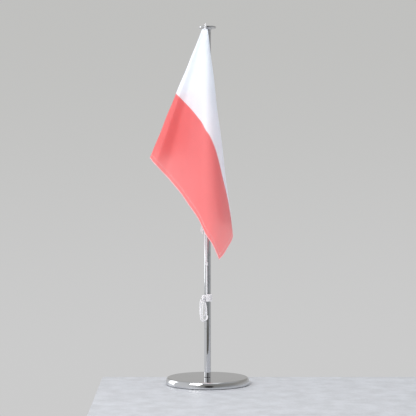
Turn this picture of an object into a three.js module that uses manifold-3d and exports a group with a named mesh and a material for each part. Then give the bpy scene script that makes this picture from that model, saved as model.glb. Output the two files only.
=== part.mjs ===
// A desk flag stand: a weighted round base, a slim pole with a disc truck on top, a halyard that runs
// over the truck, and a two-colour flag whose hoist sleeve hangs on the halyard.
// Millimetres, +Z up. The origin is the centre of the pad's underside, on the pole's axis.
// The front of the stand, where the halyard runs, faces -Y.
import * as THREE from "three";
import { mergeVertices } from "three/addons/utils/BufferGeometryUtils.js";
import Module from "manifold-3d";

const wasm = await Module();
wasm.setup();

// ---- Driving dimensions -------------------------------------------------------------------------

const FIT_GAP = 0.3; // left between pieces that touch
const THREAD_GAP = 0.15; // between a thread's core and the hole that it is in

const BASE_RADIUS = 49.5;
const BASE_UNDERSIDE = 0.5; // the pad stands this far proud of the metal
const BASE_TOP = 8.2;
const BASE_EDGE_ROUND = 1.9;
const PAD_RADIUS = 46;
const PAD_THICKNESS = 1.5;
const SCREW_HOLE_RADIUS = 2.25;
const SCREW_WELL_RADIUS = 5.5;
const SCREW_WELL_TOP = 6;

const SCREW_RADIUS = 1.95;
const SCREW_HEAD_RADIUS = 4;
const SCREW_HEAD_BOTTOM = 2;
const SCREW_HEAD_TOP = 4.4;
const SCREW_TIP = 22;
const SCREW_SLOT = [1, 1.2]; // width and depth
const WASHER_THICKNESS = 1;
const WASHER_RADIUS = 3.8;

const POLE_RADIUS = 4;
const POLE_WALL = 0.8;
const POLE_BOTTOM = BASE_TOP + FIT_GAP;
const POLE_TOP = 415;
const FOOT_PLUG_LENGTH = 24;

const TRUCK_RADIUS = 10;
const TRUCK_BOTTOM = 419.8;
const TRUCK_TOP = 422;
const TRUCK_SPIGOT_LENGTH = 12;
const TRUCK_NECK_FLARE = 5.4; // radius where the neck meets the disc

const CORD_RADIUS = 0.65;
const HALYARD_BEARING = 1.1 * Math.PI; // where the halyard crosses the truck, clockwise from +Y
const HOIST_REACH = 9.7; // from the pole's axis to the fall that the flag hangs on
const RETURN_REACH = 5.9; // from the pole's axis to the other fall, in the truck's hole
const CORD_HOLE_RADIUS = 1.1;
const FALLS_TOP = 414; // where the two falls meet the cord's crossing of the truck

const TURNS_BOTTOM = 96.5;
const TURNS_TOP = 106;
const HITCH_HEIGHT = 142;
const JOIN_HEIGHT = 186;

const FLAG_HEIGHT = 150; // along the hoist
const FLAG_LENGTH = 230; // from the hoist to the fly
const FLAG_THICKNESS = 0.6;
const HOIST_TOP = 417;
const SLEEVE_BORE = 1;
const SLEEVE_RADIUS = 1.6;
const LAYER_STEP = 3; // from the back layer to the front layer where the cloth is gathered at the top
// How far along the gathered top edge a fold starts, in mm for each degree that it turns.
const GATHER_LEFT = 0.14;
const GATHER_RIGHT = 0.42;

// The cloth hangs from its top hoist corner in folds that all start there. Each row is one straight
// line in the cloth, from that corner outwards: how far it turns to the right of straight down and
// leans to the front, both in degrees, and the layer that it lies in at the top, 0 at the back.
const FOLDS = [
  [0, 0, 0],
  [-7, 0, 0],
  [-14, 0, 0],
  [-20.4, 0, 0],
  [-22, 0.4, 0.2],
  [-22.2, 0.9, 0.5],
  [-21.7, 1.5, 0.8],
  [-19.5, 3.7, 1],
  [-17, 2.9, 1],
  [-14, 2.1, 1],
  [-11, 4, 1],
  [-8, 6.3, 1],
  [-5, 9.6, 1],
  [-2, 12.6, 1],
  [1, 17, 1],
  [3.8, 13.5, 1],
  [6, 7.7, 1],
  [7.1, 2.4, 0.85],
  [6.8, -1.6, 0.6],
  [6.2, -2.2, 0.45],
  [5.6, -1.4, 0.45],
  [4.2, 6, 0.45],
  [2, 13.5, 0.45],
];

// ---- Finishes -----------------------------------------------------------------------------------

const finish = (color, roughness, metalness) => () =>
  new THREE.MeshStandardMaterial({ color, roughness, metalness });
const chrome = finish(0xd8dade, 0.08, 1);
const steel = finish(0x9a9b9d, 0.35, 1);
const felt = finish(0x1c1d20, 0.95, 0);
const cord = finish(0xf2f2f5, 0.8, 0);
const satin = finish(0xee6a66, 0.45, 0);

// ---- Helpers ------------------------------------------------------------------------------------

function toSolid(geometry) {
  const bare = geometry.clone();
  bare.deleteAttribute("normal");
  bare.deleteAttribute("uv");
  const merged = mergeVertices(bare, 1e-4);
  return new wasm.Manifold(
    new wasm.Mesh({
      numProp: 3,
      vertProperties: new Float32Array(merged.attributes.position.array),
      triVerts: new Uint32Array(merged.index.array),
    }),
  );
}

function toGeometry(solid) {
  const mesh = solid.getMesh();
  const geometry = new THREE.BufferGeometry();
  geometry.setAttribute("position", new THREE.BufferAttribute(mesh.vertProperties, 3));
  geometry.setIndex(new THREE.BufferAttribute(mesh.triVerts, 1));
  geometry.computeVertexNormals();
  return geometry;
}

// A profile of [radius, height] points, from the bottom up its outside, turned about the Z axis.
function turned(profile, segments) {
  const points = profile.map(([radius, height]) => new THREE.Vector2(radius, height));
  return new THREE.LatheGeometry(points, segments).rotateX(Math.PI / 2);
}

// The closed profile of a ring between two radii and two heights.
function ring(inner, outer, bottom, top, segments) {
  return turned(
    [
      [inner, bottom],
      [outer, bottom],
      [outer, top],
      [inner, top],
      [inner, bottom],
    ],
    segments,
  );
}

// A quarter round from one [radius, height] point to another, about a centre.
function quarterRound(centre, radius, from, to, steps) {
  return Array.from({ length: steps + 1 }, (_, i) => {
    const angle = from + ((to - from) * i) / steps;
    return [centre[0] + radius * Math.cos(angle), centre[1] + radius * Math.sin(angle)];
  });
}

function upright(radius, bottom, top, x, y, segments = 16) {
  return new THREE.CylinderGeometry(radius, radius, top - bottom, segments)
    .rotateX(Math.PI / 2)
    .translate(x, y, (bottom + top) / 2);
}

// A cord: an eight-sided section that follows a smooth curve through the route's points.
function tube(route, radius, steps) {
  const path = new THREE.CatmullRomCurve3(route.map((p) => new THREE.Vector3(...p)), false, "centripetal");
  const sides = 8;
  const corners = Array.from({ length: sides }, (_, i) => {
    const angle = (2 * Math.PI * i) / sides;
    return new THREE.Vector2(radius * Math.cos(angle), radius * Math.sin(angle));
  });
  return new THREE.ExtrudeGeometry(new THREE.Shape(corners), { steps, extrudePath: path });
}

// A point at a distance from the pole's axis, on the line where the halyard crosses the truck.
function onHalyardLine(reach, height) {
  return [reach * Math.sin(HALYARD_BEARING), reach * Math.cos(HALYARD_BEARING), height];
}

// ---- Base ---------------------------------------------------------------------------------------

const recessTop = PAD_THICKNESS + FIT_GAP;
const recessRadius = PAD_RADIUS + FIT_GAP;

function baseDisc() {
  const chamfer = 0.5;
  const profile = [
    [recessRadius, BASE_UNDERSIDE],
    [BASE_RADIUS - chamfer, BASE_UNDERSIDE],
    [BASE_RADIUS, BASE_UNDERSIDE + chamfer],
    ...quarterRound(
      [BASE_RADIUS - BASE_EDGE_ROUND, BASE_TOP - BASE_EDGE_ROUND],
      BASE_EDGE_ROUND,
      0,
      Math.PI / 2,
      6,
    ),
    [SCREW_HOLE_RADIUS, BASE_TOP],
    [SCREW_HOLE_RADIUS, SCREW_WELL_TOP],
    [SCREW_WELL_RADIUS, SCREW_WELL_TOP],
    [SCREW_WELL_RADIUS, recessTop],
    [recessRadius, recessTop],
    [recessRadius, BASE_UNDERSIDE],
  ];
  return turned(profile, 96);
}

function basePad() {
  return upright(PAD_RADIUS, 0, PAD_THICKNESS, 0, 0, 72);
}

function baseScrew() {
  const profile = [
    [0, SCREW_HEAD_BOTTOM],
    [SCREW_HEAD_RADIUS - 1, SCREW_HEAD_BOTTOM],
    [SCREW_HEAD_RADIUS, SCREW_HEAD_BOTTOM + 1],
    [SCREW_HEAD_RADIUS, SCREW_HEAD_TOP],
    [SCREW_RADIUS, SCREW_HEAD_TOP],
    [SCREW_RADIUS, SCREW_TIP - 0.6],
    [SCREW_RADIUS - 0.6, SCREW_TIP],
    [0, SCREW_TIP],
  ];
  const [width, depth] = SCREW_SLOT;
  const slot = new THREE.BoxGeometry(3 * SCREW_HEAD_RADIUS, width, 2 * depth);
  slot.translate(0, 0, SCREW_HEAD_BOTTOM);
  return toGeometry(toSolid(turned(profile, 32)).subtract(toSolid(slot)));
}

// A spring washer: a ring with a slanted split.
function lockWasher() {
  const bottom = SCREW_HEAD_TOP + FIT_GAP;
  const body = ring(SCREW_RADIUS + FIT_GAP, WASHER_RADIUS, bottom, bottom + WASHER_THICKNESS, 32);
  const split = new THREE.BoxGeometry(WASHER_RADIUS, 0.5, 4 * WASHER_THICKNESS);
  split.rotateX(Math.PI / 5);
  split.translate((WASHER_RADIUS + SCREW_RADIUS) / 2, 0, bottom + WASHER_THICKNESS / 2);
  return toGeometry(toSolid(body).subtract(toSolid(split)));
}

// ---- Pole and truck -----------------------------------------------------------------------------

const poleBore = POLE_RADIUS - POLE_WALL;

function poleTube() {
  return ring(poleBore, POLE_RADIUS, POLE_BOTTOM, POLE_TOP, 48);
}

function footPlug() {
  const bottom = POLE_BOTTOM + FIT_GAP;
  return ring(
    SCREW_RADIUS + THREAD_GAP,
    poleBore - THREAD_GAP,
    bottom,
    bottom + FOOT_PLUG_LENGTH,
    48,
  );
}

// The truck: a disc on a flared neck, with a spigot in the pole. The halyard comes up through a hole
// beside the neck, crosses the disc and leaves through a notch in the rim.
function truck() {
  const rimRound = 0.7;
  const crown = 0.35;
  const neckBottom = POLE_TOP + FIT_GAP;
  const spigotBottom = neckBottom - TRUCK_SPIGOT_LENGTH;
  const flareHeight = TRUCK_BOTTOM - neckBottom;
  const flareWidth = TRUCK_NECK_FLARE - POLE_RADIUS;
  const flare = Array.from({ length: 6 }, (_, i) => {
    const share = i / 5;
    return [POLE_RADIUS + flareWidth * share ** 2.5, neckBottom + flareHeight * share];
  });
  const profile = [
    [0, spigotBottom],
    [poleBore - THREAD_GAP, spigotBottom],
    [poleBore - THREAD_GAP, neckBottom],
    ...flare,
    ...quarterRound([TRUCK_RADIUS - rimRound, TRUCK_BOTTOM + rimRound], rimRound, -Math.PI / 2, 0, 3),
    ...quarterRound([TRUCK_RADIUS - rimRound, TRUCK_TOP - rimRound], rimRound, 0, Math.PI / 2, 3),
    [TRUCK_RADIUS / 2, TRUCK_TOP + 0.7 * crown],
    [0, TRUCK_TOP + crown],
  ];
  const [holeX, holeY] = onHalyardLine(RETURN_REACH, 0);
  const [notchX, notchY] = onHalyardLine(HOIST_REACH, 0);
  const hole = upright(CORD_HOLE_RADIUS, neckBottom, TRUCK_TOP + 2, holeX, holeY);
  const notch = upright(CORD_HOLE_RADIUS, neckBottom, TRUCK_TOP + 2, notchX, notchY);
  return toGeometry(toSolid(turned(profile, 64)).subtract(toSolid(hole)).subtract(toSolid(notch)));
}

// ---- Halyard ------------------------------------------------------------------------------------

const hoistFall = onHalyardLine(HOIST_REACH, 0);
const returnFall = onHalyardLine(RETURN_REACH, 0);
const hitchAt = [-0.9, -6];

// The cord's crossing of the truck: a half circle from the notch to the hole.
function truckCrossing() {
  const bend = (HOIST_REACH - RETURN_REACH) / 2;
  const middle = (HOIST_REACH + RETURN_REACH) / 2;
  const halfCircle = Array.from({ length: 9 }, (_, i) => {
    const angle = (Math.PI * i) / 8;
    return onHalyardLine(middle + bend * Math.cos(angle), TRUCK_TOP + bend * Math.sin(angle));
  });
  return [
    onHalyardLine(HOIST_REACH, FALLS_TOP + FIT_GAP),
    onHalyardLine(HOIST_REACH, FALLS_TOP + 4),
    ...halfCircle,
    onHalyardLine(RETURN_REACH, FALLS_TOP + 4),
    onHalyardLine(RETURN_REACH, FALLS_TOP + FIT_GAP),
  ];
}

// The fall that the flag hangs on, from the hitch up to the truck. It is straight above the join, so
// that the flag can slide down it.
const HOIST_FALL_ROUTE = [
  [-1.7, -6.8, HITCH_HEIGHT + 2],
  [-2.3, -7.9, 150],
  [-2.8, -8.8, 160],
  [hoistFall[0], hoistFall[1], 172],
  [hoistFall[0], hoistFall[1], JOIN_HEIGHT + 2],
  [hoistFall[0], hoistFall[1], 262],
  [hoistFall[0], hoistFall[1], 340],
  [hoistFall[0], hoistFall[1], FALLS_TOP],
];

// The other fall, from the truck down through the hitch to the turns round the pole.
const RETURN_FALL_ROUTE = [
  [returnFall[0], returnFall[1], FALLS_TOP],
  [-1.6, -5.8, 330],
  [-1.3, -6, 240],
  [...hitchAt, 160],
  [...hitchAt, HITCH_HEIGHT],
  [-0.9, -5.9, 124],
  [-0.8, -5.5, 113],
  [-0.8, -4.95, TURNS_TOP + FIT_GAP],
];

function poleTurns() {
  const inner = POLE_RADIUS + FIT_GAP;
  return ring(inner, inner + 2 * CORD_RADIUS, TURNS_BOTTOM, TURNS_TOP, 32);
}

// The knot that ties the turns off, on the front left of the pole.
function tieKnot() {
  return new THREE.SphereGeometry(1, 16, 12).scale(1.9, 1.9, 4).translate(-5.2, -5.8, 101.5);
}

const BOW_FRONT_ROUTE = [
  [-6.5, -7.4, 98.2],
  [-7.3, -7.8, 95],
  [-7.8, -8, 90],
  [-7.9, -8, 84],
  [-7.9, -8, 78],
  [-6.9, -8, 75.7],
  [-4.6, -8, 74.7],
  [-2.3, -8, 75.7],
  [-1.3, -8, 78],
  [-1.1, -8, 84],
  [-1.4, -7.8, 90],
  [-2.2, -7.4, 94.4],
  [-3.3, -7.1, 97.2],
];

const BOW_BACK_ROUTE = [
  [-7.8, -5.7, 100.2],
  [-8.6, -5.9, 96],
  [-8.9, -6.1, 91],
  [-8.9, -6.2, 87],
  [-8.9, -6.3, 83.5],
  [-8, -6.3, 81.3],
  [-5.8, -6.3, 80.4],
  [-3.6, -6.3, 81.3],
  [-2.7, -6.3, 83.5],
  [-2.7, -6.2, 87],
  [-2.9, -6, 92],
  [-3.8, -5.9, 96.2],
];

const TAIL_ROUTE = [
  [-5, -8.1, 98.4],
  [-5.4, -9.3, 95],
  [-5.9, -9.8, 90],
  [-6.2, -9.8, 84],
  [-6.2, -9.8, 79.3],
  [-5.3, -9.8, 77.1],
  [-3.1, -9.8, 76.2],
  [-0.9, -9.8, 77.1],
  [0, -9.8, 79.3],
  [0, -9.8, 81.5],
];

// A knot drawn round the halyard: a barrel with the cord's hole through it.
function barrelKnot(x, y, bottom, top, radius) {
  const bulge = 0.35;
  const height = top - bottom;
  const hole = CORD_RADIUS + FIT_GAP;
  const profile = [
    [hole, bottom],
    [radius - bulge, bottom],
    [radius, bottom + height / 3],
    [radius, top - height / 3],
    [radius - bulge, top],
    [hole, top],
    [hole, bottom],
  ];
  return turned(profile, 16).translate(x, y, 0);
}

// The knot that joins the flag's cord to the stand's, with its short end hanging out on the left.
function joinKnot() {
  const [x, y] = hoistFall;
  const end = [
    [x - 1.4, y - 0.3, JOIN_HEIGHT + 0.6],
    [x - 2.8, y - 0.5, JOIN_HEIGHT - 0.8],
    [x - 3.7, y - 0.6, JOIN_HEIGHT - 4],
    [x - 4, y - 0.6, JOIN_HEIGHT - 8.5],
  ];
  const barrel = toSolid(barrelKnot(x, y, JOIN_HEIGHT - 2, JOIN_HEIGHT + 2, 1.9));
  return toGeometry(barrel.add(toSolid(tube(end, CORD_RADIUS, 8))));
}

const hoistBottom = HOIST_TOP - FLAG_HEIGHT;
const hitchKnot = () => barrelKnot(...hitchAt, HITCH_HEIGHT - 1.6, HITCH_HEIGHT + 1.6, 1.6);
const upperStop = () =>
  barrelKnot(hoistFall[0], hoistFall[1], HOIST_TOP + FIT_GAP, TRUCK_BOTTOM - 0.4, 1.6);
const lowerStop = () =>
  barrelKnot(hoistFall[0], hoistFall[1], hoistBottom - FIT_GAP - 2.3, hoistBottom - FIT_GAP, 1.6);

// ---- Flag ---------------------------------------------------------------------------------------

// The direction of each straight line in the cloth, with the place where it starts, at equal angles
// of the flat cloth: the first is the hoist and the last is the top edge.
function rulings(angles) {
  const rad = THREE.MathUtils.degToRad;
  const rows = FOLDS.map(([turn, lean, layer]) => ({
    way: new THREE.Vector3(
      Math.sin(rad(turn)) * Math.cos(rad(lean)),
      -Math.sin(rad(lean)),
      -Math.cos(rad(turn)) * Math.cos(rad(lean)),
    ),
    start: new THREE.Vector3(turn * (turn < 0 ? GATHER_LEFT : GATHER_RIGHT), -layer * LAYER_STEP, 0),
  }));
  const ways = new THREE.CatmullRomCurve3(rows.map((row) => row.way), false, "centripetal");
  const starts = new THREE.CatmullRomCurve3(rows.map((row) => row.start), false, "catmullrom", 0.3);
  const samples = 1500;
  const found = [];
  let swept = 0;
  let before = ways.getPoint(0).normalize();
  for (let i = 0; i <= samples && found.length < angles.length; i++) {
    const way = ways.getPoint(i / samples).normalize();
    swept += before.angleTo(way);
    while (found.length < angles.length && swept >= angles[found.length] - 1e-9) {
      found.push({ way: way.clone(), start: starts.getPoint(i / samples) });
    }
    before = way;
  }
  if (found.length < angles.length) {
    throw new Error("the folds sweep only " + THREE.MathUtils.radToDeg(swept) + " degrees");
  }
  return found;
}

// The cloth as a thin closed shell: rows of points out from the top hoist corner, on both faces.
function clothShell() {
  const acrossSteps = 88;
  const outSteps = 5;
  const quarter = Math.PI / 2;
  const cornerAngle = quarter - Math.atan2(FLAG_HEIGHT, FLAG_LENGTH);
  const cornerStep = Math.round((acrossSteps * cornerAngle) / quarter);
  const angles = Array.from({ length: acrossSteps + 1 }, (_, i) =>
    i <= cornerStep
      ? (cornerAngle * i) / cornerStep
      : cornerAngle + ((quarter - cornerAngle) * (i - cornerStep)) / (acrossSteps - cornerStep),
  );
  const top = new THREE.Vector3(hoistFall[0], hoistFall[1], HOIST_TOP);
  const grid = rulings(angles).map(({ way, start }, i) => {
    const reach = i <= cornerStep ? FLAG_HEIGHT / Math.cos(angles[i]) : FLAG_LENGTH / Math.sin(angles[i]);
    return Array.from({ length: outSteps + 1 }, (_, k) =>
      top.clone().add(start).addScaledVector(way, (reach * k) / outSteps),
    );
  });
  const normalAt = (i, k) => {
    const across = grid[Math.min(i + 1, acrossSteps)][k].clone().sub(grid[Math.max(i - 1, 0)][k]);
    const out = grid[i][outSteps].clone().sub(grid[i][0]);
    return across.cross(out).normalize();
  };
  const positions = [];
  for (const side of [-1, 1]) {
    for (let i = 0; i <= acrossSteps; i++) {
      for (let k = 0; k <= outSteps; k++) {
        const p = grid[i][k].clone().addScaledVector(normalAt(i, k), (side * FLAG_THICKNESS) / 2);
        positions.push(p.x, p.y, p.z);
      }
    }
  }
  const row = outSteps + 1;
  const sheet = (acrossSteps + 1) * row;
  const at = (side, i, k) => side * sheet + i * row + k;
  const indices = [];
  const quad = (a, b, c, d) => indices.push(a, b, c, a, c, d);
  for (let i = 0; i < acrossSteps; i++) {
    for (let k = 0; k < outSteps; k++) {
      quad(at(1, i, k), at(1, i + 1, k), at(1, i + 1, k + 1), at(1, i, k + 1));
      quad(at(0, i, k), at(0, i, k + 1), at(0, i + 1, k + 1), at(0, i + 1, k));
    }
    quad(at(0, i, 0), at(0, i + 1, 0), at(1, i + 1, 0), at(1, i, 0));
    quad(at(1, i, outSteps), at(1, i + 1, outSteps), at(0, i + 1, outSteps), at(0, i, outSteps));
  }
  for (let k = 0; k < outSteps; k++) {
    quad(at(1, 0, k), at(1, 0, k + 1), at(0, 0, k + 1), at(0, 0, k));
    quad(at(0, acrossSteps, k), at(0, acrossSteps, k + 1), at(1, acrossSteps, k + 1), at(1, acrossSteps, k));
  }
  const geometry = new THREE.BufferGeometry();
  geometry.setAttribute("position", new THREE.Float32BufferAttribute(positions, 3));
  geometry.setIndex(indices);
  return geometry;
}

// The cloth with its hoist edge sewn into a sleeve round the halyard.
function flagCloth() {
  const [x, y] = hoistFall;
  const sleeve = upright(SLEEVE_RADIUS, hoistBottom, HOIST_TOP, x, y, 24);
  const bore = upright(SLEEVE_BORE, hoistBottom - 2, HOIST_TOP + 2, x, y, 24);
  return toGeometry(toSolid(clothShell()).add(toSolid(sleeve)).subtract(toSolid(bore)));
}

// ---- The assembly -------------------------------------------------------------------------------

const stand = new THREE.Group();
const rigging = new THREE.Group();
const whole = new THREE.Group();

function add(group, name, geometry, material) {
  const mesh = new THREE.Mesh(geometry, material());
  mesh.name = name;
  group.add(mesh);
}

add(stand, "base_disc", baseDisc(), chrome);
add(stand, "base_pad", basePad(), felt);
add(stand, "base_screw", baseScrew(), steel);
add(stand, "lock_washer", lockWasher(), steel);
add(stand, "pole_tube", poleTube(), chrome);
add(stand, "pole_foot_plug", footPlug(), steel);
add(stand, "truck", truck(), chrome);

add(rigging, "halyard_hoist_fall", tube(HOIST_FALL_ROUTE, CORD_RADIUS, 40), cord);
add(rigging, "halyard_over_truck", tube(truckCrossing(), CORD_RADIUS, 32), cord);
add(rigging, "halyard_return_fall", tube(RETURN_FALL_ROUTE, CORD_RADIUS, 48), cord);
add(rigging, "pole_turns", poleTurns(), cord);
add(rigging, "tie_knot", tieKnot(), cord);
add(rigging, "bow_loop_front", tube(BOW_FRONT_ROUTE, CORD_RADIUS, 36), cord);
add(rigging, "bow_loop_back", tube(BOW_BACK_ROUTE, CORD_RADIUS, 30), cord);
add(rigging, "cord_tail", tube(TAIL_ROUTE, CORD_RADIUS, 24), cord);
add(rigging, "join_knot", joinKnot(), cord);
add(rigging, "hitch_knot", hitchKnot(), cord);
add(rigging, "upper_stop", upperStop(), cord);
add(rigging, "lower_stop", lowerStop(), cord);
add(rigging, "flag_cloth", flagCloth(), satin);

whole.add(stand, rigging);
export default whole;
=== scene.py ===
# %% [markdown]
# # A desk flag stand
# A weighted chrome base, a slim chrome pole with a disc truck, a braided halyard that runs over
# the truck and is tied off round the pole, and a white and red satin flag that hangs in folds.
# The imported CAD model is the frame: every piece here is made in its coordinates, in metres, and
# rides on one of its three bodies, the stand, the hoist stops or the flag.

# %% Load the frame
import math

import bmesh
import bpy
import numpy as np
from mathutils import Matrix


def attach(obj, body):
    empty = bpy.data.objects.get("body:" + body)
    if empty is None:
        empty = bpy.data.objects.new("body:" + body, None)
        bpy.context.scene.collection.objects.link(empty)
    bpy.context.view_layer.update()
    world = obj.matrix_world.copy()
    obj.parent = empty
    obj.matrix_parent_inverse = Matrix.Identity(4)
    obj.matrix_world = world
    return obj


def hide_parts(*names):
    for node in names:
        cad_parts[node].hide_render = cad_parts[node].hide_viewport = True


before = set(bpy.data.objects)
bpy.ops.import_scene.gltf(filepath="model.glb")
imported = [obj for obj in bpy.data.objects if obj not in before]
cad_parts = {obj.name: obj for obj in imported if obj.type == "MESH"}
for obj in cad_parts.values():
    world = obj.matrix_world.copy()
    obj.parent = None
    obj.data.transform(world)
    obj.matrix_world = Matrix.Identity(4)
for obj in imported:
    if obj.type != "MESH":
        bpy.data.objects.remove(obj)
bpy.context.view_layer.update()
MM = 0.001
scene = bpy.context.scene

# %% [markdown]
# ## Camera
# A long lens from straight in front, at about half the height of the stand, so that the pole
# stays upright and the base is seen a little from above. A level camera keeps verticals parallel,
# which a tilted one would not, so its height does the work that a tilt would do.

# %% The camera
EYE = (0.0005, -1.437, 0.2078)
lens = bpy.data.cameras.new("eye")
lens.sensor_width = 36
lens.lens = 105.3
camera = bpy.data.objects.new("eye", lens)
camera.location = EYE
camera.rotation_euler = (math.pi / 2, 0, 0)
scene.collection.objects.link(camera)
scene.camera = camera
scene.view_settings.view_transform = "Standard"
print("camera", EYE, "lens", lens.lens)

# %% [markdown]
# ## Curves and meshes in numbers
# The halyard, the bow and the folds all follow smooth curves through a few points. A centripetal
# Catmull-Rom curve passes through each point without loops or overshoot, which suits cord, so one
# function serves them all. It gives evenly spaced points, because a braid needs an even step.


# %% Smooth curves
def smooth(points, count, tension=None):
    """Points on a curve through the given ones: centripetal, or with a fixed tension."""
    points = np.asarray(points, float)
    last = len(points) - 1
    found = []
    for step in np.linspace(0, last, count):
        i = int(min(np.floor(step), last - 1))
        w = step - i
        p1, p2 = points[i], points[i + 1]
        p0 = points[i - 1] if i > 0 else 2 * p1 - p2
        p3 = points[i + 2] if i + 2 <= last else 2 * p2 - p1
        if tension is None:
            d0, d1, d2 = (
                max(np.linalg.norm(b - a) ** 0.5, 1e-4) for a, b in ((p0, p1), (p1, p2), (p2, p3))
            )
            t1 = ((p1 - p0) / d0 - (p2 - p0) / (d0 + d1) + (p2 - p1) / d1) * d1
            t2 = ((p2 - p1) / d1 - (p3 - p1) / (d1 + d2) + (p3 - p2) / d2) * d1
        else:
            t1, t2 = tension * (p2 - p0), tension * (p3 - p1)
        square, cube = w * w, w**3
        found.append(
            p1
            + t1 * w
            + (-3 * p1 + 3 * p2 - 2 * t1 - t2) * square
            + (2 * p1 - 2 * p2 + t1 + t2) * cube
        )
    return np.array(found)


def even(points, step):
    """The same line with its points a fixed step apart."""
    run = np.r_[0, np.cumsum(np.linalg.norm(np.diff(points, axis=0), axis=1))]
    marks = np.linspace(0, run[-1], max(2, int(round(run[-1] / step)) + 1))
    return np.stack([np.interp(marks, run, points[:, k]) for k in range(3)], 1)


def line_length(points):
    return float(np.linalg.norm(np.diff(points, axis=0), axis=1).sum())


def route(points, step=0.35):
    """A cord's route in metres, from points in millimetres."""
    return even(smooth(points, 60 * len(points)), step) * MM


bend_test = route([(0, 0, 0), (10, 0, 0), (10, 10, 0)])
print("a bend through three points, %.1f mm long" % (line_length(bend_test) / MM))


# %% Meshes from points and faces
def mesh_piece(name, points, faces, material=None, crisp=None):
    """A piece from its points and faces, smooth except at edges sharper than crisp degrees."""
    mesh = bpy.data.meshes.new(name)
    mesh.from_pydata([tuple(p) for p in points], [], [tuple(f) for f in faces])
    mesh.validate()
    mesh.shade_smooth()
    if crisp:
        mesh.set_sharp_from_angle(angle=math.radians(crisp))
    piece = bpy.data.objects.new(name, mesh)
    scene.collection.objects.link(piece)
    if material:
        mesh.materials.append(material)
    return piece


def turned(profile, segments):
    """Points and faces of a profile in millimetres, (radius, height), turned about Z."""
    points, rings = [], []
    for radius, height in np.array(profile, float) * MM:
        if radius < 1e-9:  # a pole: one point for the whole ring
            rings.append([len(points)] * segments)
            points.append((0, 0, height))
            continue
        rings.append(list(range(len(points), len(points) + segments)))
        angles = 2 * np.pi * np.arange(segments) / segments
        points += [(radius * np.cos(a), radius * np.sin(a), height) for a in angles]
    faces = []
    for low, high in zip(rings, rings[1:]):
        for i in range(segments):
            k = (i + 1) % segments
            face = [low[i], low[k], high[k], high[i]]
            faces.append(list(dict.fromkeys(face)))
    return points, faces


def rounded(centre, radius, start, stop, steps):
    """Points of a round in a profile, between two angles in degrees."""
    angles = np.radians(np.linspace(start, stop, steps + 1))
    return [(centre[0] + radius * np.cos(a), centre[1] + radius * np.sin(a)) for a in angles]


def weld(piece, gap=0, crisp=None):
    """Merges points closer than a gap, turns the faces outwards and gives the volume in mm3."""
    welder = bmesh.new()
    welder.from_mesh(piece.data)
    if gap:
        bmesh.ops.remove_doubles(welder, verts=welder.verts, dist=gap)
    bmesh.ops.recalc_face_normals(welder, faces=welder.faces)
    volume = welder.calc_volume(signed=True) / MM**3
    welder.to_mesh(piece.data)
    welder.free()
    if crisp:
        piece.data.set_sharp_from_angle(angle=math.radians(crisp))
    return volume


def plain_mesh(source, name):
    """A plain mesh of an object as its modifiers leave it, as a new piece in the source's place."""
    bpy.context.view_layer.update()
    graph = bpy.context.evaluated_depsgraph_get()
    mesh = bpy.data.meshes.new_from_object(source.evaluated_get(graph), depsgraph=graph)
    mesh.name = name
    bpy.data.objects.remove(source)
    piece = bpy.data.objects.new(name, mesh)
    scene.collection.objects.link(piece)
    return piece


print("a turned cone has", len(turned([(0, 0), (5, 0), (0, 9)], 12)[1]), "faces")

# %% [markdown]
# ## Shader helpers
# Each finish is a node tree. A small writer keeps the trees short to read: it adds a node, sets
# its plain values and links the sockets that it is given.


# %% A small node writer
def add_node(tree, kind, settings=None, **links):
    """Adds a node. Settings are properties; links name input sockets, spaces written as _."""
    node = tree.nodes.new(kind)
    for key, value in (settings or {}).items():
        setattr(node, key, value)
    for key, value in links.items():
        where = int(key[1:]) if key[0] == "i" and key[1:].isdigit() else key.replace("_", " ")
        if isinstance(value, bpy.types.NodeSocket):
            tree.links.new(value, node.inputs[where])
        else:
            node.inputs[where].default_value = value
    return node


def maths(tree, operation, *values):
    """A math node's result, for sockets or plain numbers."""
    links = {f"i{k}": v for k, v in enumerate(values)}
    return add_node(tree, "ShaderNodeMath", {"operation": operation}, **links).outputs[0]


def between(tree, value, low, high, to_low=0.0, to_high=1.0):
    """The value carried smoothly from one range to another, held at its ends."""
    node = add_node(
        tree,
        "ShaderNodeMapRange",
        {"interpolation_type": "SMOOTHSTEP"},
        Value=value,
        From_Min=low,
        From_Max=high,
        To_Min=to_low,
        To_Max=to_high,
    )
    return node.outputs["Result"]


def tint(tree, share, first, second):
    """A colour between two, by a share."""
    node = add_node(tree, "ShaderNodeMix", {"data_type": "RGBA"}, i0=share, i6=first, i7=second)
    return node.outputs[2]


def new_material(name, **constants):
    """A material with one Principled shader and its plain values. Gives the tree and the shader."""
    material = bpy.data.materials.new(name)
    material.use_nodes = True
    tree = material.node_tree
    shader = tree.nodes["Principled BSDF"]
    for key, value in constants.items():
        shader.inputs[key.replace("_", " ")].default_value = value
    return material, tree, shader


def relieved(tree, shader, height, strength, depth):
    """Gives a shader small relief from a height, to a depth in metres. Gives the normal."""
    bump = add_node(tree, "ShaderNodeBump", Height=height, Strength=strength, Distance=depth)
    tree.links.new(bump.outputs["Normal"], shader.inputs["Normal"])
    return bump.outputs["Normal"]


def new_group(name, inputs, outputs):
    """A shader group with named sockets. Gives the tree, its input node and its output node."""
    tree = bpy.data.node_groups.new(name, "ShaderNodeTree")
    for label, kind, value in inputs:
        socket = tree.interface.new_socket(label, in_out="INPUT", socket_type="NodeSocket" + kind)
        if value is not None:
            socket.default_value = value
    for label, kind in outputs:
        tree.interface.new_socket(label, in_out="OUTPUT", socket_type="NodeSocket" + kind)
    return tree, tree.nodes.new("NodeGroupInput"), tree.nodes.new("NodeGroupOutput")


def use_group(tree, group, **links):
    return add_node(tree, "ShaderNodeGroup", {"node_tree": group}, **links)


print("shader helpers ready, materials so far", len(bpy.data.materials))


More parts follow.
